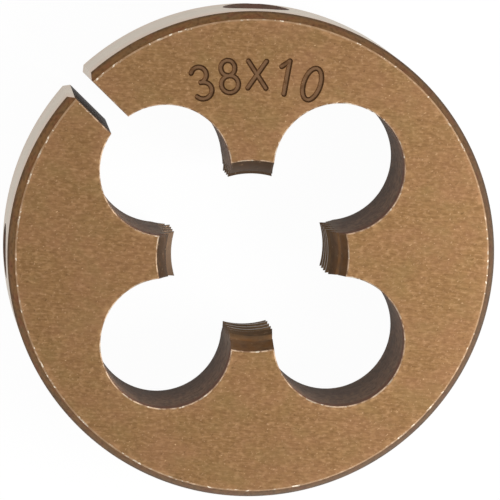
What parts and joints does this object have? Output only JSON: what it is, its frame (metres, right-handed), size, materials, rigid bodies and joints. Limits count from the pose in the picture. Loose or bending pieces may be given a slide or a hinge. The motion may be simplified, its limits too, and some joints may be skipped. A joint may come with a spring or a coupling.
{
  "type": "threading die",
  "caption": "Split round die with a threaded centre, cutting lands between round chip holes, a slot through the rim and bevelled edges.",
  "frame": {"origin": "on the thread axis, in the plane of the lower face, on which the die lies", "axes": "+Z along the thread axis, out of the marked face; the slot points halfway between -X and +Y"},
  "size_m": [0.038, 0.038, 0.01],
  "materials": {
    "die_steel": "bronze oxide on tool steel, ground rim"
  },
  "bodies": {
    "root": {"threading_die": "die_steel"}
  },
  "joints": []
}
